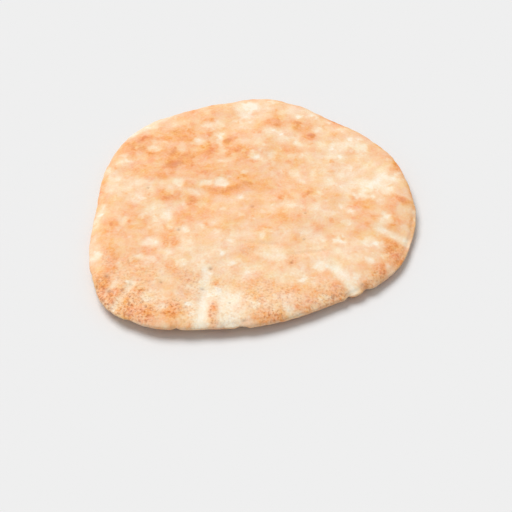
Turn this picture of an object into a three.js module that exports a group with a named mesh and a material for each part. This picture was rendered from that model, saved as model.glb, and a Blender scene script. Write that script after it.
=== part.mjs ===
// Pita bread: one flat, round pocket loaf. It was baked as a single disc that puffed up and sank again as
// it cooled, so it is one solid with no separate pieces. Its underside lies flat, its edge is a thin seam
// that stands a little clear of the table, and its top is a low crown with slow waves.
// Millimetres, +Z up. The origin is on the table, under the middle of the loaf's box.
import * as THREE from "three";

// Driving dimensions
const MEAN_RADIUS = 90;
const CROWN_HEIGHT = 10.2; // top of the crown before the waves are added
const SEAM_HEIGHT = 4.6; // where the upper and lower layers meet at the edge
const FOOT_SHARE = 0.74; // share of the radius that lies on the table

// How the half section bends: shares of the mean radius, and of the seam's or the crown's height.
const UNDER_FLATNESS = 0.93; // how far out the underside runs on flat before it turns up
const SEAM_UNDERCUT = 0.35; // how far below the seam the edge stands upright
const SEAM_NOSE = 0.995; // how nearly upright the edge rises from the seam
const SHOULDER_HEIGHT = 0.83; // how high the edge rises before it turns in
const CROWN_FLATNESS = 0.8; // how far out the crown runs on flat

// The hand-stretched outline: from the middle to the seam, every 15 degrees from +X.
const OUTLINE_RADII = [
  88, 87, 87, 85, 85, 90, 91, 89, 91, 94, 92, 89, 88, 93, 101, 108, 103, 93, 87, 83, 82, 85, 88, 88,
];

// How far the edge curls up from the table: each curl is [waves per turn, mm, degrees of its peak].
const EDGE_CURLS = [
  [2, 0.7, 60],
  [3, 0.5, 20],
  [5, 0.35, 95],
];
const MEAN_CURL = 0.9;

// Slow waves in the top layer: each is [mm, wavelength in mm, degrees of its heading, degrees of phase].
const TOP_WAVES = [
  [0.45, 96, 25, 40],
  [0.35, 61, 110, 200],
  [0.25, 43, 155, 310],
];

// Mesh fineness
const TURN_STEPS = 96;
const UNDER_STEPS = 7;
const OVER_STEPS = 20;

// A smooth step from one value to the next, whose slopes at both ends follow the values on each side.
function smoothBetween(before, from, to, after, share) {
  const slopeFrom = (to - before) / 2;
  const slopeTo = (after - from) / 2;
  const bend = 3 * (to - from) - 2 * slopeFrom - slopeTo;
  const turnBack = 2 * (from - to) + slopeFrom + slopeTo;
  return from + slopeFrom * share + bend * share ** 2 + turnBack * share ** 3;
}

// Share of the mean radius at which the edge lies, for an angle round the loaf.
function outlineAt(turn) {
  const count = OUTLINE_RADII.length;
  const place = ((turn / (2 * Math.PI) + 1) % 1) * count;
  const start = Math.floor(place);
  const [before, from, to, after] = [-1, 0, 1, 2].map((step) => {
    return OUTLINE_RADII[(start + step + count) % count];
  });
  return smoothBetween(before, from, to, after, place - start) / MEAN_RADIUS;
}

// Rise of the edge above the table, for an angle round the loaf and a share of the radius.
function curlAt(turn, share) {
  const towardsEdge = THREE.MathUtils.smoothstep(share, FOOT_SHARE, 1);
  const curl = EDGE_CURLS.reduce((sum, [count, rise, peak]) => {
    const fromPeak = turn - THREE.MathUtils.degToRad(peak);
    return sum + rise * Math.cos(count * fromPeak);
  }, MEAN_CURL);
  return curl * towardsEdge;
}

// Height of the slow waves at a place on the top.
function waveAt(x, y) {
  return TOP_WAVES.reduce((sum, [height, length, heading, phase]) => {
    const course = THREE.MathUtils.degToRad(heading);
    const along = x * Math.cos(course) + y * Math.sin(course);
    return sum + height * Math.sin((2 * Math.PI * along) / length + THREE.MathUtils.degToRad(phase));
  }, 0);
}

// Half of the loaf's section, from the middle of the underside, round the seam, to the middle of the crown.
function halfSection() {
  const footRadius = FOOT_SHARE * MEAN_RADIUS;
  const under = new THREE.CubicBezierCurve(
    new THREE.Vector2(footRadius, 0),
    new THREE.Vector2(MEAN_RADIUS * UNDER_FLATNESS, 0),
    new THREE.Vector2(MEAN_RADIUS, SEAM_HEIGHT * SEAM_UNDERCUT),
    new THREE.Vector2(MEAN_RADIUS, SEAM_HEIGHT),
  );
  const over = new THREE.CubicBezierCurve(
    new THREE.Vector2(MEAN_RADIUS, SEAM_HEIGHT),
    new THREE.Vector2(MEAN_RADIUS * SEAM_NOSE, CROWN_HEIGHT * SHOULDER_HEIGHT),
    new THREE.Vector2(MEAN_RADIUS * CROWN_FLATNESS, CROWN_HEIGHT),
    new THREE.Vector2(0, CROWN_HEIGHT),
  );
  return [new THREE.Vector2(0, 0), ...under.getPoints(UNDER_STEPS), ...over.getPoints(OVER_STEPS).slice(1)];
}

// Gives the plain turned loaf its outline, curled edge and waves.
function shapeByHand(geometry) {
  const place = geometry.attributes.position;
  for (let i = 0; i < place.count; i += 1) {
    const [x, y, z] = [place.getX(i), place.getY(i), place.getZ(i)];
    const turn = Math.atan2(y, x);
    const share = Math.hypot(x, y) / MEAN_RADIUS;
    const reach = outlineAt(turn);
    const wave = waveAt(x * reach, y * reach) * (z / CROWN_HEIGHT) ** 2;
    place.setXYZ(i, x * reach, y * reach, z + curlAt(turn, share) + wave);
  }
}

// Puts the middle of the footprint's box at the origin, with the underside on the table.
function standOnTable(geometry) {
  geometry.computeBoundingBox();
  const { min, max } = geometry.boundingBox;
  geometry.translate(-(min.x + max.x) / 2, -(min.y + max.y) / 2, -min.z);
}

const loaf = new THREE.LatheGeometry(halfSection(), TURN_STEPS);
loaf.rotateX(Math.PI / 2);
shapeByHand(loaf);
standOnTable(loaf);
loaf.computeVertexNormals();

const crust = new THREE.MeshStandardMaterial({ color: 0xf3c592, roughness: 0.85, metalness: 0 });
const pitaBread = new THREE.Mesh(loaf, crust);
pitaBread.name = "pita_bread";

const pita = new THREE.Group();
pita.add(pitaBread);

export default pita;
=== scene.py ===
import math

import bmesh
import bpy
import numpy as np
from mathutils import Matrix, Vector, geometry, noise


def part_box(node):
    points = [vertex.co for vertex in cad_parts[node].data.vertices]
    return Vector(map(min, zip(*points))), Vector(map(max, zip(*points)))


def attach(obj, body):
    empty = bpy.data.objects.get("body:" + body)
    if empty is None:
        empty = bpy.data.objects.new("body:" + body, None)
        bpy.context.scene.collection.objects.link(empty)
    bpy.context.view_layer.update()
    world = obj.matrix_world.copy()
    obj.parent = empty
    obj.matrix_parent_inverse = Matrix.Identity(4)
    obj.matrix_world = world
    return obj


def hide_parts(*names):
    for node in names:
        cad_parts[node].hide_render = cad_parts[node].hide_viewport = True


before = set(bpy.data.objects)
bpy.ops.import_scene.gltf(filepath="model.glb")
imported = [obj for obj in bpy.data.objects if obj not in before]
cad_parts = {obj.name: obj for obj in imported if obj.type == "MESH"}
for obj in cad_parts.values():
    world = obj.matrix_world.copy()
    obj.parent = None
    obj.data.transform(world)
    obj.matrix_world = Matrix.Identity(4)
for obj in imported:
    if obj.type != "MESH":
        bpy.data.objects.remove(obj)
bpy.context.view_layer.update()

# ---- Table
# A plain matt sheet of off-white card, far wider than the bread, that the bread lies on. It is flat and
# bare, so the bread's soft shadow is all that shows on it.
TABLE_SIDE = 30.0
CARD_WHITE = "#E7E7E7"


def from_hex(code):
    """The linear colour, with an alpha of 1, of an sRGB hex value."""
    shares = [int(code[i:i + 2], 16) / 255 for i in (1, 3, 5)]
    linear = [s / 12.92 if s <= 0.04045 else ((s + 0.055) / 1.055) ** 2.4 for s in shares]
    return (*linear, 1.0)


def add_node(tree, kind, inputs=None, **settings):
    """Adds a node with its settings. Each of its inputs is given a value, or an output to join it to."""
    made = tree.nodes.new(kind)
    for name, value in settings.items():
        setattr(made, name, value)
    for name, value in (inputs or {}).items():
        if isinstance(value, bpy.types.NodeSocket):
            tree.links.new(value, made.inputs[name])
        else:
            made.inputs[name].default_value = value
    return made


# Matt card: uncoated paper, rough enough to show no gloss at all.
card = bpy.data.materials.new("matt_card")
card.use_nodes = True
card_shader = card.node_tree.nodes["Principled BSDF"]
card_shader.inputs["Base Color"].default_value = from_hex(CARD_WHITE)
card_shader.inputs["Roughness"].default_value = 1.0
card_shader.inputs["Specular IOR Level"].default_value = 0.0

table_mesh = bpy.data.meshes.new("table")
sheet = bmesh.new()
bmesh.ops.create_grid(sheet, x_segments=1, y_segments=1, size=TABLE_SIDE / 2)
sheet.to_mesh(table_mesh)
sheet.free()
table_mesh.materials.append(card)
table = bpy.data.objects.new("table", table_mesh)
bpy.context.scene.collection.objects.link(table)

# ---- Loaf: its form
# One disc of soft wheat dough, baked on a hot oven floor until it puffed into a pocket, and sunk flat again
# as it cooled. It is a single piece: a thin upper and a thin lower layer, which meet in a seam at the edge.
# The lengths below are in millimetres, from the middle of the loaf. The finished skin is in metres.
MM = 0.001
MEAN_RADIUS = 90
CROWN_HEIGHT = 10.2  # top of the crown, before the waves are added
SEAM_HEIGHT = 4.6  # where the upper and lower layers meet at the edge
FOOT_SHARE = 0.74  # share of the radius that lies on the table

# How the section bends: shares of the mean radius, and of the seam's or the crown's height.
UNDER_FLATNESS = 0.93
SEAM_UNDERCUT = 0.35
SEAM_NOSE = 0.995
SHOULDER_HEIGHT = 0.83
CROWN_FLATNESS = 0.8

# The hand-stretched outline: from the middle to the seam, every 15 degrees from +X.
OUTLINE_RADII = [
    88, 87, 87, 85, 85, 90, 91, 89, 91, 94, 92, 89, 88, 93, 101, 108, 103, 93, 87, 83, 82, 85, 88, 88,
]
# Small swellings and dips of the edge: (degrees round it, half width in degrees, share of the radius).
OUTLINE_SWELLS = [(84, 5, 0.010), (77, 3, -0.008), (98, 4, -0.008)]
# How far the edge curls up from the table: each curl is (waves per turn, mm, degrees of its peak).
EDGE_CURLS = [(2, 0.7, 60), (3, 0.5, 20), (5, 0.35, 95)]
MEAN_CURL = 0.9
# Slow waves in the top layer: each is (mm, wavelength in mm, degrees of its heading, degrees of phase).
TOP_WAVES = [(0.45, 96, 25, 40), (0.35, 61, 110, 200), (0.25, 43, 155, 310)]

# How close the mesh's faces lie: on the underside, added to that on the upper layer, and added at the seam.
UNDER_CLOSENESS = 0.7
UPPER_CLOSENESS = 0.7
SEAM_CLOSENESS = 0.8
SEAM_BLEND = 4  # half the distance, across the seam, over which the upper layer's closeness comes in
SEAM_BAND = 6  # half width of the closer faces at the seam
FACES_ACROSS = 128  # along each edge of the cube that the loaf is blown from
CROWN_STEPS = 400  # points along the section's curve over the seam
UNDER_STEPS = 200  # points along its curve under the seam, and along the flat foot
LAYER_BLEND = 1.5  # half the distance, across the seam, over which one layer's looks turn to the other's


def smooth_step(low, high, value):
    """0 below low, 1 above high, and a smooth rise between."""
    share = np.clip((value - low) / (high - low), 0, 1)
    return share * share * (3 - 2 * share)


def soft_band(value, middle, half_width):
    """1 at the middle, falling smoothly to about a third at the half width on each side."""
    return np.exp(-((value - middle) / half_width) ** 2)


def outline_at(turn):
    """Share of the mean radius at which the seam lies, on a smooth closed curve through the radii."""
    place = turn / (2 * math.pi) % 1 * len(OUTLINE_RADII)
    start = np.floor(place).astype(int)
    share = place - start
    before, low, high, after = (
        np.take(OUTLINE_RADII, start + step, mode="wrap") for step in (-1, 0, 1, 2))
    slope_low = (high - before) / 2
    slope_high = (after - low) / 2
    bend = 3 * (high - low) - 2 * slope_low - slope_high
    turn_back = 2 * (low - high) + slope_low + slope_high
    return (low + slope_low * share + bend * share ** 2 + turn_back * share ** 3) / MEAN_RADIUS


def edge_curl(turn):
    """How far the seam curls up from the table."""
    curls = (rise * np.cos(waves * (turn - math.radians(peak))) for waves, rise, peak in EDGE_CURLS)
    return MEAN_CURL + sum(curls)


def loaf_section():
    """Radius and height along the section, from the middle of the crown to the middle of the underside."""
    foot_radius = MEAN_RADIUS * FOOT_SHARE
    crown = geometry.interpolate_bezier(
        Vector((0, CROWN_HEIGHT)),
        Vector((MEAN_RADIUS * CROWN_FLATNESS, CROWN_HEIGHT)),
        Vector((MEAN_RADIUS * SEAM_NOSE, CROWN_HEIGHT * SHOULDER_HEIGHT)),
        Vector((MEAN_RADIUS, SEAM_HEIGHT)), CROWN_STEPS)
    belly = geometry.interpolate_bezier(
        Vector((MEAN_RADIUS, SEAM_HEIGHT)),
        Vector((MEAN_RADIUS, SEAM_HEIGHT * SEAM_UNDERCUT)),
        Vector((MEAN_RADIUS * UNDER_FLATNESS, 0)),
        Vector((foot_radius, 0)), UNDER_STEPS)
    foot = [Vector((foot_radius * (1 - step / UNDER_STEPS), 0)) for step in range(1, UNDER_STEPS + 1)]
    return np.array([point[:2] for point in crown + belly[1:] + foot])


# The loaf starts as a cube cut into a fine grid, which is blown out to a ball and laid onto the section, so
# that its faces stay near square with no pole. The tangent evens out the sizes of the ball's faces.
loaf = bmesh.new()
bmesh.ops.create_cube(loaf, size=2)
bmesh.ops.subdivide_edges(loaf, edges=loaf.edges[:], cuts=FACES_ACROSS - 1, use_grid_fill=True)
ball = np.array([vertex.co for vertex in loaf.verts])
ball = np.tan(ball * math.pi / 4)
ball /= np.linalg.norm(ball, axis=1)[:, None]
turn = np.arctan2(ball[:, 1], ball[:, 0])
degrees_round = np.degrees(turn)
share_down = (1 - ball[:, 2]) / 2

# Each ring of the ball goes to the place on the section that has the same share of the faces above it. The
# upper layer gets more of the faces than the underside, and the seam gets the closest ones.
section = loaf_section()
steps = np.linalg.norm(np.diff(section, axis=0), axis=1)
past_crown = np.concatenate([[0], np.cumsum(steps)])
seam_at = past_crown[np.argmin(np.hypot(*(section - (MEAN_RADIUS, SEAM_HEIGHT)).T))]
closeness = UNDER_CLOSENESS + UPPER_CLOSENESS * smooth_step(-SEAM_BLEND, SEAM_BLEND, seam_at - past_crown)
closeness += SEAM_CLOSENESS * soft_band(past_crown, seam_at, SEAM_BAND)
mid_radius = (section[1:, 0] + section[:-1, 0]) / 2
skin_above = np.concatenate([[0], np.cumsum(mid_radius * steps * (closeness[1:] + closeness[:-1]) / 2)])
along = np.interp(share_down * skin_above[-1], skin_above, past_crown)
radius = np.interp(along, past_crown, section[:, 0])
height = np.interp(along, past_crown, section[:, 1])
above_seam = seam_at - along

reach = outline_at(turn)
for heading, half_width, swell in OUTLINE_SWELLS:
    reach += swell * soft_band(degrees_round, heading, half_width)
x = radius * np.cos(turn) * reach
y = radius * np.sin(turn) * reach
z = height + edge_curl(turn) * smooth_step(FOOT_SHARE, 1, radius / MEAN_RADIUS)
for rise, length, heading, phase in TOP_WAVES:
    onward = x * math.cos(math.radians(heading)) + y * math.sin(math.radians(heading))
    wave = np.sin(2 * math.pi * onward / length + math.radians(phase))
    z += rise * wave * (height / CROWN_HEIGHT) ** 2
x -= (x.min() + x.max()) / 2
y -= (y.min() + y.max()) / 2
z -= z.min()
is_top = smooth_step(-LAYER_BLEND, LAYER_BLEND, above_seam)

# ---- Loaf: its crust, place by place
# What the oven did to the skin. Puffed parts touched the heat and toasted orange to brown, and dips and
# stretched creases stayed pale. Each place is (x, y, length, width, degrees of its length, strength).
TOASTED = [
    (-64, 50, 24, 13, 32, 0.42), (-46, 38, 26, 36, 0, 0.20), (-18, 44, 34, 26, 0, 0.26),
    (-36, 15, 7, 6, 0, 0.35), (-17, 10, 22, 9, -5, 0.22), (-5, 13, 9, 9, 0, 0.18),
    (-45, 5, 20, 9, 10, 0.22), (12, 67, 18, 16, 0, 0.20), (28, 58, 14, 18, 30, 0.20),
    (-28, 74, 20, 12, 20, 0.16), (-44, 58, 24, 16, 20, 0.22), (-58, 24, 30, 14, 0, 0.16),
    (-67, -9, 12, 20, 10, 0.18), (-45, -28, 10, 18, 10, 0.26), (-34, -8, 22, 16, 0, 0.20),
    (0, -2, 8, 14, 0, 0.20), (13, -15, 22, 12, 0, 0.18), (60, -2, 16, 14, 0, 0.26),
    (78, -1, 16, 14, -40, 0.08), (53, -14, 18, 10, 0, 0.20), (75, -34, 16, 24, 15, 0.40),
    (66, -50, 8, 10, 0, 0.40), (61, -60, 9, 16, -30, 0.34), (41, -69, 16, 12, 30, 0.30),
    (27, -74, 16, 14, 20, 0.20), (11, -83, 20, 12, 10, 0.24), (-60, -81, 24, 13, -6, 0.52),
    (-42, -80, 10, 16, 0, 0.32), (-78, -66, 15, 30, 22, 0.40), (-66, -43, 11, 10, 0, 0.22),
    (-78, -40, 10, 22, 5, 0.22), (-21.5, -84, 5.5, 24, 0, 0.45), (-20, -67, 9, 7, 0, 0.14),
    (-5, -34, 12, 14, 0, 0.12), (20, -43, 6, 12, 0, 0.22), (45, -33, 6, 5, 0, 0.30),
    (-34, -57, 10, 12, 0, 0.14), (-87, 18, 10, 30, -12, 0.24), (33, 55, 4, 4, 0, 0.50),
    (-46, 41, 4, 7, 10, 0.22), (-67, -69, 20, 24, 0, 0.24), (-37, -14, 14, 24, 0, 0.09),
    (-38, 52, 14, 12, 0, 0.07), (-44, 37, 28, 16, 0, 0.10), (-39, 6, 18, 14, 0, 0.11),
    (-7, 8, 14, 12, 0, 0.12), (-55, -38, 22, 14, 0, 0.10), (67, -52, 14, 12, 0, 0.08),
    (22, 22, 12, 12, 0, 0.09), (-5, -82, 12, 8, 0, 0.07), (20, 4, 24, 16, 0, 0.10),
    (2, 22, 66, 54, 0, 0.08), (-68, 36, 20, 48, -10, 0.13), (-36, 34, 44, 30, 0, 0.06),
    (-66, -62, 22, 26, 0, 0.14), (-50, -52, 36, 14, 0, 0.10), (70, -14, 30, 18, 0, 0.14),
    (-83, -22, 8, 24, 0, 0.10), (-77, -22, 12, 12, 0, 0.12), (-28, -12, 10, 9, 0, 0.15),
    (-5, -6, 12, 14, 0, 0.14), (-5, -37, 12, 16, 0, 0.12), (36, -53, 12, 12, 0, 0.12),
    (-48, -33, 4, 7, 0, 0.22), (33, -20, 9, 6, 0, 0.20), (22, -28, 5, 10, 0, 0.18),
    (24, 64, 8, 8, 0, 0.08), (20, 44, 10, 12, 0, 0.14), (12, 13, 14, 10, 0, 0.08),
    (54, 4, 4, 4, 0, 0.35), (43, 25, 4, 4, 0, 0.25), (77, 28, 6, 12, -20, 0.28),
    (82, 3, 12, 6, -50, 0.42), (-14, 50, 5, 7, 0, 0.26), (-36, 52, 6, 5, 0, 0.18),
    (-26, 58, 6, 7, 0, 0.20), (-58, 54, 14, 5, 10, 0.22), (-67, 44, 9, 12, 0, 0.16),
    (-40, 22, 30, 6, 5, 0.14), (-22, 8, 14, 8, 0, 0.12), (-50, 6, 12, 6, 10, 0.14),
    (-86, 10, 5, 22, -10, 0.18), (-70, 28, 10, 6, 0, 0.12), (16, -64, 20, 8, 0, 0.10),
]
PALE = [
    (-5, 79, 14, 18, 0, 0.60), (64, 14, 36, 13, 4, 0.34), (70, 27, 24, 14, -10, 0.24),
    (51, 43, 30, 18, -20, 0.20), (-73, 17, 22, 22, 0, 0.26), (-62, 66, 40, 8, 34, 0.34),
    (-50, -6, 16, 16, 0, 0.30), (-86, -35, 8, 20, 5, 0.16), (-86, -12, 5, 24, -14, 0.30),
    (38, -47, 14, 9, 0, 0.20), (8, -36, 14, 12, 0, 0.22), (31, -28, 16, 9, 0, 0.20),
    (40, -42, 34, 20, 0, 0.12), (-12, -47, 36, 26, 0, 0.14), (18, 57, 16, 9, -20, 0.30),
    (-58, 45, 8, 6, 0, 0.45), (-20, 50, 5, 9, 0, 0.45), (-20, 57, 7, 5, 0, 0.35),
    (-31, 50, 6, 6, 0, 0.30), (-27, 65, 8, 5, 0, 0.35), (-16, 34, 13, 6, 10, 0.30),
    (-18, 16, 9, 7, 0, 0.60), (-27, 16, 6, 5, 0, 0.45), (-42, 17, 6, 7, 0, 0.45),
    (-58, 17, 7, 6, 0, 0.35), (-33, 8, 9, 6, -10, 0.45), (-8, 4, 5, 5, 0, 0.30),
    (-78, 21, 7, 11, 10, 0.40), (-66, 4, 11, 7, 0, 0.35), (-75, 6, 6, 6, 0, 0.25),
    (-71, -14, 6, 6, 0, 0.45), (-54, -15, 9, 8, 0, 0.28), (-57, -30, 9, 8, 0, 0.50),
    (-61, -41, 7, 5, 0, 0.30), (-38, -21, 6, 6, 0, 0.40), (10, 38, 5, 7, 0, 0.35),
    (2, 35, 5, 6, 0, 0.22), (22, 23, 7, 7, 0, 0.35), (33, 23, 5, 8, 0, 0.25), (4, -26, 5, 7, 0, 0.40),
    (72, -8, 6, 5, 0, 0.40), (16, -2, 9, 7, 0, 0.32), (42, -9, 8, 5, 0, 0.22), (62, -29, 8, 7, 0, 0.42),
    (60, 5, 9, 6, 0, 0.25), (-34, -77, 6, 8, 0, 0.45), (-65, -61, 7, 13, -15, 0.30),
    (-76, -64.5, 13, 4, 62, 0.62), (25, 48, 6, 6, 0, 0.25), (-53, -69, 18, 10, 0, 0.24),
    (42, 17, 6, 5, 0, 0.2), (-74, 33, 10, 6, 0, 0.2), (25, -70, 12, 10, 0, 0.1),
    (-51, 19, 24, 20, 0, 0.20), (50, 22, 56, 26, -10, 0.18), (-26, -30, 34, 36, 0, 0.20),
    (-15, -74, 34, 34, 0, 0.14), (53, -32, 46, 34, 20, 0.14), (14, -54, 36, 16, 0, 0.10),
    (20, -6, 50, 16, 0, 0.06), (-41, 45, 6, 8, 0, 0.22), (-47, -37, 9, 8, 0, 0.22),
    (44, -36, 7, 8, 0, 0.22), (13, -42, 9, 6, 0, 0.16), (50, -38, 10, 8, 0, 0.12),
    (17, -76, 8, 13, 0, 0.20), (45, 45, 12, 12, 0, 0.12), (65, 17, 34, 8, 5, 0.16),
    (6, 78, 12, 18, 0, 0.20), (-67, 37, 12, 14, 0, 0.17), (82, 0, 8, 24, 0, 0.11),
    (-15, -67, 24, 12, 0, 0.18), (44, -67, 24, 8, 0, 0.06), (-67, 6, 12, 12, 0, 0.22),
    (22, 52, 16, 12, 0, 0.09), (50, 52, 16, 10, 0, 0.07), (7, -6, 14, 12, 0, 0.09),
    (36, -8, 16, 12, 0, 0.07), (-82, -20, 8, 22, 0, 0.08), (7, -52, 26, 12, 0, 0.08),
    (24, -82, 14, 10, 0, 0.18), (36, -54, 30, 10, 0, 0.05), (-37, 67, 12, 10, 0, 0.06),
    (52, 42, 22, 14, -10, 0.10), (54, -60, 8, 16, 30, 0.14), (-27, -43, 12, 10, 0, 0.10),
    (7, 52, 16, 20, 0, 0.08),
]
# Creases where the dough was stretched towards the edge, and a few fine wrinkles. Each is (start x and y,
# end x and y, width at the start and at the end, depth, share of it that stayed pale).
CREASES = [
    (-25, -50, -26, -74, 6, 7, 0.35, 0.80), (-26, -66, -28, -94, 7, 8, 0.55, 0.95),
    (-14.5, -64, -12, -94, 8, 16, 0.45, 0.80), (41, -45, 55, -69, 6, 6, 0.65, 0.82),
    (66, -18, 84, -28, 5, 6, 0.50, 0.70), (-63, -58, -77, -84, 3.5, 5, 0.50, 0.55),
    (17, -41, 38, -37, 2.6, 2.6, 0.30, 0), (36, -65, 43, -76, 2.6, 2.6, 0.30, 0),
    (-6, -31, 12, -33, 2.6, 2.6, 0.25, 0), (58, -30, 70, -38, 2.6, 2.6, 0.30, 0),
]
# Pin holes, where steam broke through: (x, y, width). Each is a shallow dip, darkened with painted shade.
PIN_HOLES = [
    (-76, -66, 3.2), (-78, -55, 3.4), (-65, -61, 1.6), (-49, -60, 1.8), (-23, -50, 2.6), (-27, -64, 2.0),
    (-16, -90, 3.0), (-5, -86, 1.8), (-13, -74, 1.4), (57, -60, 1.8), (27, -29, 1.4), (-41, -21, 1.8),
    (-1, -4, 1.8), (28, -10, 1.4), (-59, 12, 1.4), (-83, -61, 2.4), (-79, -71, 2.2), (20, -46, 1.6),
]
PIN_HOLE_FALL = 6  # makes a hole's dip a fifth as deep at its rim as in its middle

# Toast runs from 0, raw white, to 1, browned, and a little past that. The levels that the parts start from:
UPPER_TOAST = 0.55
UNDER_TOAST = 0.34
BELLY_TOAST = 0.64  # where the underside turns up towards the seam
CREASE_TOAST = 0.02
# How far the toasted and pale places together can move the upper layer, and how soon that levels off.
MOST_BROWNING = 0.50
BROWNING_EASE = 0.48
# Slow drifts of toast: each is (strength, size in mm, seed, layers, stretch along x).
UPPER_DRIFTS = [(0.09, 22, 3.1, 2, 1.0), (0.07, 9, 8.4, 2, 1.2)]
UNDER_DRIFTS = [(0.12, 24, 33.3, 2, 1.0), (0.04, 5, 88.1, 2, 1.0)]
BELLY_DRIFTS = [(0.15, 15, 44.4, 2, 1.0)]
BELLY_FULL_SHARE = 0.97  # share of the radius from which the underside's edge has its full toast

# How ragged the places' outlines are: a shift in mm of the whole outline, and a spread at its fading edge.
SHIFT_DRIFTS_X = [(0.9, 5, 11.3, 1, 1.0)]
SHIFT_DRIFTS_Y = [(0.9, 5, 47.9, 1, 1.0)]
RAGGED_DRIFTS = [(1.0, 7, 19.1, 2, 1.0)]
OVAL_FADE = (0.18, 0.70)  # from the middle out, in shares of the oval's length and width
OVAL_RAGGEDNESS = 0.09
CREASE_FADE = (0.12, 0.75)  # from the middle line out, in shares of the crease's width
CREASE_RAGGEDNESS = 0.06
CREASE_SHIFT = 0.35  # share of the shift that a crease's line gets
CREASE_START_FADE = (-0.15, 0.25)  # shares of the crease's length, from its start
CREASE_END_FADE = (1.0, 1.15)

# The noise behind every drift. Each further layer has patches half the size and about 0.6 times as strong.
PATCH_GAIN = 1.6  # brings the noise to about -1 to 1
PATCH_FADE = 0.7
PATCH_SHRINK = 2.0
SEED_SLANT = 0.7  # a seed moves the noise by itself along x, and by this share of itself along y


def patches(size, seed, layers, stretch):
    """Smooth random values, about -1 to 1, in patches of about that size in mm, stretched along x."""
    places = zip(x / (size * stretch) + seed, y / size + seed * SEED_SLANT, z / size)
    values = [noise.fractal(place, PATCH_FADE, PATCH_SHRINK, layers) for place in places]
    return PATCH_GAIN * np.array(values)


def drift(drifts):
    """The sum of some patches: each is (strength, size in mm, seed, layers, stretch along x)."""
    return sum(strength * patches(*pattern) for strength, *pattern in drifts)


def in_oval(place_x, place_y, length, width, heading):
    """1 well inside an oval, falling to 0 a little outside its ragged outline."""
    cosine = math.cos(math.radians(heading))
    sine = math.sin(math.radians(heading))
    off_x = shifted_x - place_x
    off_y = shifted_y - place_y
    share = np.hypot((off_x * cosine + off_y * sine) / length, (off_y * cosine - off_x * sine) / width)
    return 1 - smooth_step(*OVAL_FADE, share + OVAL_RAGGEDNESS * ragged)


def in_crease(start_x, start_y, end_x, end_y, start_width, end_width):
    """1 along the middle of a crease, fading in from its start and falling to 0 on each side."""
    run_x = end_x - start_x
    run_y = end_y - start_y
    off_x = x + CREASE_SHIFT * (shifted_x - x) - start_x
    off_y = y + CREASE_SHIFT * (shifted_y - y) - start_y
    onward = (off_x * run_x + off_y * run_y) / (run_x ** 2 + run_y ** 2)
    off = np.hypot(off_x - onward * run_x, off_y - onward * run_y)
    width = start_width + (end_width - start_width) * np.clip(onward, 0, 1)
    across = 1 - smooth_step(*CREASE_FADE, off / width + CREASE_RAGGEDNESS * ragged)
    return across * smooth_step(*CREASE_START_FADE, onward) * (1 - smooth_step(*CREASE_END_FADE, onward))


# The outlines of all these places are ragged, so they are looked up at slightly shifted points.
shifted_x = x + drift(SHIFT_DRIFTS_X)
shifted_y = y + drift(SHIFT_DRIFTS_Y)
ragged = drift(RAGGED_DRIFTS)

browned = np.zeros(len(x))
for *oval, strength in TOASTED:
    browned += strength * in_oval(*oval)
for *oval, strength in PALE:
    browned -= strength * in_oval(*oval)
browned = MOST_BROWNING * np.tanh(browned / BROWNING_EASE)
toast_top = UPPER_TOAST + browned + drift(UPPER_DRIFTS)

stretched = np.zeros(len(x))
crease_dip = np.zeros(len(x))
for *run, depth, paleness in CREASES:
    creased = in_crease(*run)
    stretched = np.maximum(stretched, paleness * creased)
    crease_dip += depth * creased
toast_top += (CREASE_TOAST - toast_top) * stretched
stretched *= is_top

# The underside lay on the oven floor: pale and floury, with round scorched spots where it touched, and a
# little browner where it turns up to the seam.
SCORCHED_SPOTS = 160
SCORCH_SEED = 5
SCORCH_LOW = (-85, -85, 3, 0.2)  # lowest and highest x, y, width and strength of a spot
SCORCH_HIGH = (85, 85, 10, 1.0)
SCORCH_FADE = (0.25, 1.0)
SCORCH_RAGGEDNESS = 0.22
SCORCH_TOAST = 0.62
scorched = np.zeros(len(x))
scorch_places = np.random.default_rng(SCORCH_SEED).uniform(SCORCH_LOW, SCORCH_HIGH, (SCORCHED_SPOTS, 4))
for place_x, place_y, width, strength in scorch_places:
    off = np.hypot(x - place_x, y - place_y) / width
    spot = strength * (1 - smooth_step(*SCORCH_FADE, off + SCORCH_RAGGEDNESS * ragged))
    scorched = np.maximum(scorched, spot)
toast_under = UNDER_TOAST + SCORCH_TOAST * scorched + drift(UNDER_DRIFTS)
at_belly = smooth_step(FOOT_SHARE, BELLY_FULL_SHARE, radius / MEAN_RADIUS)
toast_under += (BELLY_TOAST + drift(BELLY_DRIFTS) - toast_under) * at_belly

# The seam itself stayed pale along a thin line. Just above it, on the right and back right of the edge,
# the skin is darkened here and there with painted shade, laid in as extra toast: the edge's shadow line.
SEAM_PALENESS = 0.10
SEAM_LINE = 0.9
RIM_PAINTED_SHADE = 0.40
RIM_STARTS = (-25, 0)  # degrees round the loaf
RIM_ENDS = (55, 75)
RIM_COVER = 0.6
RIM_DRIFTS = [(0.6, 16, 71.7, 1, 1.0)]
RIM_BAND = (1.0, 1.8)  # height above the seam and half width, along the skin
toast_and_shade = toast_under + (toast_top - toast_under) * is_top
toast_and_shade -= SEAM_PALENESS * soft_band(above_seam, 0, SEAM_LINE)
# A band of painted shade, darkening the edge just above the seam on the right and back right.
at_shaded_rim = smooth_step(*RIM_STARTS, degrees_round) * (1 - smooth_step(*RIM_ENDS, degrees_round))
rim_cover = np.clip(RIM_COVER + drift(RIM_DRIFTS), 0, 1)
toast_and_shade += RIM_PAINTED_SHADE * at_shaded_rim * rim_cover * soft_band(above_seam, *RIM_BAND)

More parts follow.
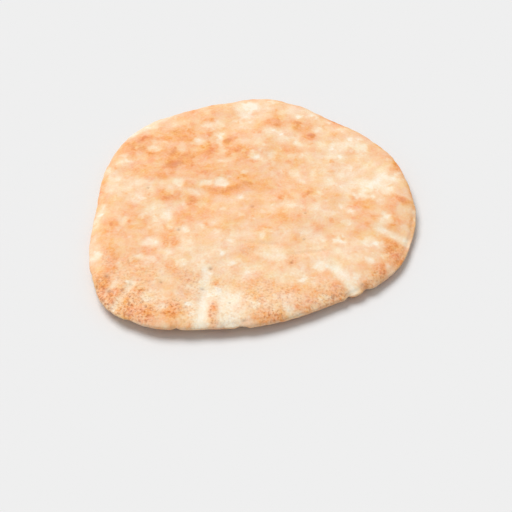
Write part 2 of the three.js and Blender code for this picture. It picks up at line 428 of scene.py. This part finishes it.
# Scorched freckles: they thicken towards the front edge and on its toasted places, and are few in creases.
# Between them the skin is a little lighter than plain toast. The underside has them on its scorched spots.
FRONT_FRECKLED = (38, 82)  # mm in front of the middle: where they start, and where they are thickest
FRONT_COVER = 0.40
FRONT_DRIFTS = [(0.25, 12, 55.2, 1, 1.0)]
TOASTED_FRECKLED = (20, 40)  # the same, for toasted places
TOASTED_COVER = 1.4
CREASE_THINNING = 0.7
FRECKLED_LIGHTENING = 0.16
LIGHTENED_FROM = (0.1, 0.5)  # levels of browning between which the lightening comes in
SCORCHED_COVER = 0.5
freckled = smooth_step(*FRONT_FRECKLED, -y) * (FRONT_COVER + drift(FRONT_DRIFTS))
freckled += TOASTED_COVER * np.clip(browned, 0, 1) * smooth_step(*TOASTED_FRECKLED, -y)
freckled = np.clip(freckled, 0, 1) * is_top * (1 - CREASE_THINNING * stretched)
toast_and_shade -= FRECKLED_LIGHTENING * freckled * smooth_step(*LIGHTENED_FROM, browned)
freckled += SCORCHED_COVER * np.clip(scorched, 0, 1) * (1 - is_top)

pin_hole = np.zeros(len(x))
for place_x, place_y, width in PIN_HOLES:
    off_squared = (x - place_x) ** 2 + (y - place_y) ** 2
    pin_hole += np.exp(-PIN_HOLE_FALL * off_squared / width ** 2) * is_top

# ---- Loaf: its relief
# How far the skin stands proud of the plain form: slow puffs and dents, toasted parts a little higher than
# pale ones, shallow dimples, creases, pin holes, and round the edge a thin lip with a groove above it.
PUFFS = [(0.40, 24, 5.5, 1, 1.0), (0.18, 10, 91.2, 1, 1.0), (0.06, 4.5, 27.4, 2, 1.3)]
TOASTED_RISE = 0.60
PIN_HOLE_DEPTH = 0.5
UNDER_RELIEF = 0.6  # share of the relief that the underside has, away from the flat foot
UNDER_FULL_SHARE = 0.9
# The lip comes and goes round the edge. Its bands are (height, distance above the seam, half width).
LIP_COVER = 0.38
LIP_DRIFTS = [(0.5, 14, 66.6, 2, 1.0)]
LIP_BANDS = [(0.52, 0.1, 0.8), (-0.34, 2.4, 1.2)]
ROUGH_EDGE = [(0.22, 3.4, 15.5, 1, 1.0)]
ROUGH_BAND = (-0.5, 2.0)
# Small bites in the seam: (degrees round the loaf, half width in degrees, depth).
SEAM_BITES = [
    (-114.7, 1.0, 1.3), (-95, 1.3, 1.2), (-93.2, 0.6, 0.6), (-53.5, 1.1, 1.6), (-46.5, 1.8, 2.2),
    (-128, 1.0, 0.8), (-150, 1.5, 0.3),
]
BITE_BAND = (-1.5, 3.2)

relief = drift(PUFFS)
relief += TOASTED_RISE * browned * is_top
relief -= crease_dip * is_top
relief -= PIN_HOLE_DEPTH * pin_hole
off_foot = smooth_step(FOOT_SHARE, UNDER_FULL_SHARE, radius / MEAN_RADIUS)
relief *= off_foot * (1 - is_top) * UNDER_RELIEF + is_top
lip = np.clip(LIP_COVER + drift(LIP_DRIFTS), 0, 1)
for rise, middle, half_width in LIP_BANDS:
    relief += rise * lip * soft_band(above_seam, middle, half_width)
relief += drift(ROUGH_EDGE) * soft_band(above_seam, *ROUGH_BAND)
for heading, half_width, depth in SEAM_BITES:
    bite = depth * soft_band(degrees_round, heading, half_width)
    relief -= bite * soft_band(above_seam, *BITE_BAND)

# The relief is laid on straight out from the plain form, and the whole is fitted to the plain form's box.
for vertex, place in zip(loaf.verts, zip(x, y, z)):
    vertex.co = place
loaf.normal_update()
outward = np.array([vertex.normal for vertex in loaf.verts])
skin = np.stack([x, y, z], axis=1) + outward * relief[:, None]
box_low, box_high = (np.array(corner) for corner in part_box("pita_bread"))
skin_low = skin.min(axis=0)
skin_high = skin.max(axis=0)
skin = box_low + (skin - skin_low) / (skin_high - skin_low) * (box_high - box_low)
for vertex, place in zip(loaf.verts, skin):
    vertex.co = place
for face in loaf.faces:
    face.smooth = True

# Two round maps lie corner to corner on one square, the upper layer's and the underside's, for a painted
# copy. Each has room for the faces that reach a little past the seam.
UPPER_MAP = 0.335  # radius, as a share of the square's side
UNDER_MAP = 0.240
MAP_MARGIN = 0.004
PAST_SEAM = 3
whole_way = past_crown[-1]
upper_reach = UPPER_MAP * along / (seam_at + PAST_SEAM)
under_reach = UNDER_MAP * (whole_way - along) / (whole_way - seam_at + PAST_SEAM)
painted = loaf.loops.layers.uv.new("OFBake")
for face in loaf.faces:
    is_upper = sum(above_seam[vertex.index] for vertex in face.verts) > 0
    middle = UPPER_MAP + MAP_MARGIN if is_upper else 1 - UNDER_MAP - MAP_MARGIN
    map_reach = upper_reach if is_upper else under_reach
    for corner in face.loops:
        out = map_reach[corner.vert.index]
        way = turn[corner.vert.index]
        corner[painted].uv = (middle + out * math.cos(way), middle + out * math.sin(way))

loaf_mesh = bpy.data.meshes.new("pita_loaf")
loaf.to_mesh(loaf_mesh)
loaf.free()
pin_hole = np.clip(pin_hole, 0, 1)
skin_marks = {"toast_and_shade": toast_and_shade, "freckled": freckled, "stretched": stretched, "pin_hole": pin_hole}
for name, values in skin_marks.items():
    mark = loaf_mesh.attributes.new(name, "FLOAT", "POINT")
    mark.data.foreach_set("value", values.astype(np.float32))
pita_loaf = bpy.data.objects.new("pita_loaf", loaf_mesh)
bpy.context.scene.collection.objects.link(pita_loaf)

# ---- Loaf: its crust material
# Baked wheat dough: a dry, thin, matt skin, cream where it stayed pale, orange where it toasted and brown
# where it scorched. The eye gets a soft mottle a few millimetres across, a finer grain, and brown freckles
# near the edge. Sizes from here on are in metres, the units of the finished skin.
CRUMB_SHADES = [
    (0.00, "#F7ECD8"), (0.20, "#F6DEBF"), (0.40, "#F4CFA9"), (0.55, "#F3C599"),
    (0.70, "#F2BA8A"), (0.85, "#F1AC73"), (1.00, "#E6985D"), (1.40, "#D38550"),
]
SCORCH_BROWN = "#A65A2E"
# Painted shade in the pin holes: its colour, and how much of it covers a hole's middle.
PIN_HOLE_SHADE_BROWN = "#8C5630"
PIN_HOLE_SHADE_COVER = 0.5
CRUST_IOR = 1.45
CRUST_SPECULAR = 0.3
ROUGHNESS_PALE = 0.88  # floury, and quite without shine
ROUGHNESS_TOASTED = 0.62

# Sizes of the patterns, each about the width of one patch.
MOTTLE = 0.0045
GRAIN = 0.0006
FRECKLE = 0.0007
WARMTH = 0.0050
SHIFT = 0.0030

MOTTLE_STRENGTH = 0.85
GRAIN_STRENGTH = 0.32
GRAIN_STRENGTH_FRECKLED = 1.10  # where the freckles are thickest
CREASE_CALM = 0.35  # share of the mottle left where the skin was stretched
FRECKLE_STRENGTH = 0.68
# Scattered flecks: (spacing, chance from which a fleck shows, chance at full strength, strength).
FLECKS = [
    (0.0090, 0.40, 0.90, -0.28), (0.0055, 0.40, 0.95, -0.26),
    (0.0082, 0.45, 0.95, 0.20), (0.0048, 0.45, 1.0, 0.22),
]
FLECK_SHIFT = 0.009  # how far a noise from 0 to 1 shifts the places
NOISE_MIDDLE = 0.5  # what a noise gives on average


def noise_scale(patch_width):
    """The scale at which a noise's patches are about that wide."""
    return 1 / (2 * patch_width)


crust = bpy.data.materials.new("baked_wheat_crust")
crust.use_nodes = True
tree = crust.node_tree
shader = tree.nodes["Principled BSDF"]
place = add_node(tree, "ShaderNodeTexCoord").outputs["Object"]
toast_and_shade_level = add_node(tree, "ShaderNodeAttribute", attribute_name="toast_and_shade").outputs["Fac"]
freckle_share = add_node(tree, "ShaderNodeAttribute", attribute_name="freckled").outputs["Fac"]
stretched_share = add_node(tree, "ShaderNodeAttribute", attribute_name="stretched").outputs["Fac"]
hole_share = add_node(tree, "ShaderNodeAttribute", attribute_name="pin_hole").outputs["Fac"]

blotches = add_node(tree, "ShaderNodeTexNoise", {
    "Vector": place, "Scale": noise_scale(MOTTLE), "Detail": 3.0, "Roughness": 0.55})
grain = add_node(tree, "ShaderNodeTexNoise", {
    "Vector": place, "Scale": noise_scale(GRAIN), "Detail": 1.0, "Roughness": 0.5})
mottle = add_node(tree, "ShaderNodeMath", {
    0: blotches.outputs["Fac"], 1: MOTTLE_STRENGTH, 2: -MOTTLE_STRENGTH * NOISE_MIDDLE},
    operation="MULTIPLY_ADD").outputs[0]

# Flecks are spots round scattered points, drawn out of round by shifting the place a little.
shift = add_node(tree, "ShaderNodeTexNoise", {
    "Vector": place, "Scale": noise_scale(SHIFT), "Detail": 2.0})
shift_around_0 = add_node(tree, "ShaderNodeVectorMath", {
    0: shift.outputs["Color"], 1: (NOISE_MIDDLE,) * 3}, operation="SUBTRACT")
shifted_place = add_node(tree, "ShaderNodeVectorMath", {
    0: shift_around_0.outputs[0], 1: (FLECK_SHIFT,) * 3, 2: place}, operation="MULTIPLY_ADD")
for spacing, share_from, share_to, strength in FLECKS:
    cells = add_node(tree, "ShaderNodeTexVoronoi", {
        "Vector": shifted_place.outputs[0], "Scale": 1 / spacing, "Smoothness": 0.35}, feature="SMOOTH_F1")
    spot = add_node(tree, "ShaderNodeMapRange", {
        "Value": cells.outputs["Distance"], "From Min": 0.50, "From Max": 0.15},
        interpolation_type="SMOOTHSTEP")
    chance = add_node(tree, "ShaderNodeSeparateColor", {"Color": cells.outputs["Color"]})
    spot_strength = add_node(tree, "ShaderNodeMapRange", {
        "Value": chance.outputs[0], "From Min": share_from, "From Max": share_to, "To Max": strength})
    mottle = add_node(tree, "ShaderNodeMath", {
        0: spot.outputs[0], 1: spot_strength.outputs[0], 2: mottle}, operation="MULTIPLY_ADD").outputs[0]

# The level of toast, with the painted shade along the rim, at each point: the place's own, with less mottle
# where the skin was stretched, and with more grain among the freckles.
calmness = add_node(tree, "ShaderNodeMapRange", {
    "Value": stretched_share, "To Min": 1.0, "To Max": CREASE_CALM})
mottled = add_node(tree, "ShaderNodeMath", {
    0: mottle, 1: calmness.outputs[0], 2: toast_and_shade_level}, operation="MULTIPLY_ADD")
grain_strength = add_node(tree, "ShaderNodeMapRange", {
    "Value": freckle_share, "To Min": GRAIN_STRENGTH, "To Max": GRAIN_STRENGTH_FRECKLED})
grained = add_node(tree, "ShaderNodeMath", {
    0: grain.outputs["Fac"], 1: grain_strength.outputs[0], 2: mottled.outputs[0]}, operation="MULTIPLY_ADD")
grain_middle = add_node(tree, "ShaderNodeMath", {
    0: grain_strength.outputs[0], 1: NOISE_MIDDLE}, operation="MULTIPLY")
level = add_node(tree, "ShaderNodeMath", {
    0: grained.outputs[0], 1: grain_middle.outputs[0]}, operation="SUBTRACT")

most_toast = CRUMB_SHADES[-1][0]
share_of_most = add_node(tree, "ShaderNodeMath", {
    0: level.outputs[0], 1: 1 / most_toast}, operation="MULTIPLY")
shades = add_node(tree, "ShaderNodeValToRGB", {"Fac": share_of_most.outputs[0]})
while len(shades.color_ramp.elements) < len(CRUMB_SHADES):
    shades.color_ramp.elements.new(0.5)
for stop, (share, shade) in zip(shades.color_ramp.elements, CRUMB_SHADES):
    stop.position = share / most_toast
    stop.color = from_hex(shade)

freckles = add_node(tree, "ShaderNodeTexNoise", {
    "Vector": place, "Scale": noise_scale(FRECKLE), "Detail": 1.0, "Roughness": 0.5})
freckle_spots = add_node(tree, "ShaderNodeMapRange", {
    "Value": freckles.outputs["Fac"], "From Min": 0.50, "From Max": 0.69, "To Max": FRECKLE_STRENGTH})
freckle_cover = add_node(tree, "ShaderNodeMath", {
    0: freckle_spots.outputs[0], 1: freckle_share}, operation="MULTIPLY")
with_freckles = add_node(tree, "ShaderNodeMix", {
    0: freckle_cover.outputs[0], 6: shades.outputs["Color"], 7: from_hex(SCORCH_BROWN)}, data_type="RGBA")
# Painted shade darkens each pin hole towards brown, for the depth its shallow dip doesn't show.
hole_shade_cover = add_node(tree, "ShaderNodeMath", {0: hole_share, 1: PIN_HOLE_SHADE_COVER}, operation="MULTIPLY")
with_hole_shade = add_node(tree, "ShaderNodeMix", {
    0: hole_shade_cover.outputs[0], 6: with_freckles.outputs[2], 7: from_hex(PIN_HOLE_SHADE_BROWN)}, data_type="RGBA")

# The colour drifts a little towards yellow or red, and towards grey or strong, from patch to patch.
warmth = add_node(tree, "ShaderNodeTexNoise", {
    "Vector": place, "Scale": noise_scale(WARMTH), "Detail": 3.0, "Roughness": 0.8})
two_drifts = add_node(tree, "ShaderNodeSeparateColor", {"Color": warmth.outputs["Color"]})
turn_of_hue = add_node(tree, "ShaderNodeMapRange", {
    "Value": two_drifts.outputs[0], "From Min": 0.3, "From Max": 0.7, "To Min": 0.489, "To Max": 0.511})
strength_of_hue = add_node(tree, "ShaderNodeMapRange", {
    "Value": two_drifts.outputs[1], "From Min": 0.3, "From Max": 0.7, "To Min": 0.90, "To Max": 1.10})
warmed = add_node(tree, "ShaderNodeHueSaturation", {
    "Hue": turn_of_hue.outputs[0], "Saturation": strength_of_hue.outputs[0],
    "Color": with_hole_shade.outputs[2]})
dryness = add_node(tree, "ShaderNodeMapRange", {
    "Value": level.outputs[0], "To Min": ROUGHNESS_PALE, "To Max": ROUGHNESS_TOASTED})

# The skin's finest wrinkles and pores are too small for the mesh, so they are bumps of well under a
# millimetre.
fine_skin = add_node(tree, "ShaderNodeBump", {
    "Height": grain.outputs["Fac"], "Strength": 0.5, "Distance": 0.25 * MM})
skin_bumps = add_node(tree, "ShaderNodeBump", {
    "Height": blotches.outputs["Fac"], "Strength": 0.4, "Distance": 0.7 * MM,
    "Normal": fine_skin.outputs[0]})
tree.links.new(warmed.outputs["Color"], shader.inputs["Base Color"])
tree.links.new(dryness.outputs[0], shader.inputs["Roughness"])
tree.links.new(skin_bumps.outputs[0], shader.inputs["Normal"])
shader.inputs["IOR"].default_value = CRUST_IOR
shader.inputs["Specular IOR Level"].default_value = CRUST_SPECULAR
loaf_mesh.materials.append(crust)

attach(pita_loaf, "root")
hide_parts("pita_bread")

# ---- Light and camera
# One wide soft light, high behind the loaf's left shoulder and far off, in an even white room. The camera
# looks down on the loaf from the front, through a long lens.
LIGHT_FROM = Vector((-0.40, 0.45, 1.05))
LIGHT_STRENGTH = 2.28
LIGHT_SPREAD = math.radians(40)
ROOM_STRENGTH = 0.45
soft_light = bpy.data.lights.new("soft_light", "SUN")
soft_light.energy = LIGHT_STRENGTH
soft_light.angle = LIGHT_SPREAD
lamp = bpy.data.objects.new("soft_light", soft_light)
lamp.location = LIGHT_FROM
lamp.rotation_euler = (-LIGHT_FROM).to_track_quat("-Z", "Y").to_euler()
bpy.context.scene.collection.objects.link(lamp)

room = bpy.data.worlds.new("white_room")
room.use_nodes = True
room.node_tree.nodes["Background"].inputs["Color"].default_value = (1, 1, 1, 1)
room.node_tree.nodes["Background"].inputs["Strength"].default_value = ROOM_STRENGTH
bpy.context.scene.world = room
bpy.context.scene.view_settings.view_transform = "Standard"

LOOKS_DOWN = math.radians(46)
AWAY = 0.9
LOOKS_AT = Vector((0.001, -0.0363, 0.0045))
LENS = 118
SENSOR_WIDTH = 36
camera_data = bpy.data.cameras.new("camera")
camera_data.sensor_width = SENSOR_WIDTH
camera_data.lens = LENS
camera = bpy.data.objects.new("camera", camera_data)
camera.location = LOOKS_AT + AWAY * Vector((0, -math.cos(LOOKS_DOWN), math.sin(LOOKS_DOWN)))
camera.rotation_euler = (math.pi / 2 - LOOKS_DOWN, 0, 0)
bpy.context.scene.collection.objects.link(camera)
bpy.context.scene.camera = camera
